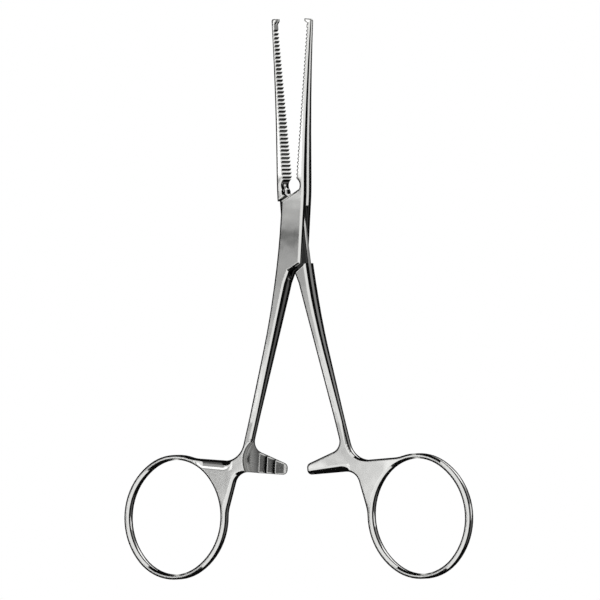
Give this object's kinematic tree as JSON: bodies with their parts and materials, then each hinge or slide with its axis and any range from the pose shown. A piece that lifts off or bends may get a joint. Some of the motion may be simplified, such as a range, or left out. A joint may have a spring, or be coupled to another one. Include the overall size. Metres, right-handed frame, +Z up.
{
  "type": "hemostat forceps",
  "caption": "Straight artery forceps with a box lock, cross-serrated toothed jaws, a ratchet between the arms and oval finger rings.",
  "frame": {"origin": "on the pivot axis of the box lock, at the underside of the box that the part rests on", "axes": "+Y towards the jaw tips, +X to the right seen from the toothed ratchet side, +Z up along the pivot"},
  "size_m": [0.094, 0.1374, 0.0051],
  "materials": {
    "box_half": "polished stainless steel",
    "tenon_half": "polished stainless steel",
    "hinge_pin": "stainless steel rivet ground flush and polished"
  },
  "bodies": {
    "box_side": {"box_half": "box_half", "hinge_pin": "hinge_pin"},
    "tenon_side": {"tenon_half": "tenon_half"}
  },
  "joints": [
    {"name": "box_lock_pivot", "type": "hinge", "parent": "box_side", "child": "tenon_side", "pos_m": [0, 0, 0.00255], "axis": [0, 0, 1], "range_deg": [-9.94, 50]}
  ]
}
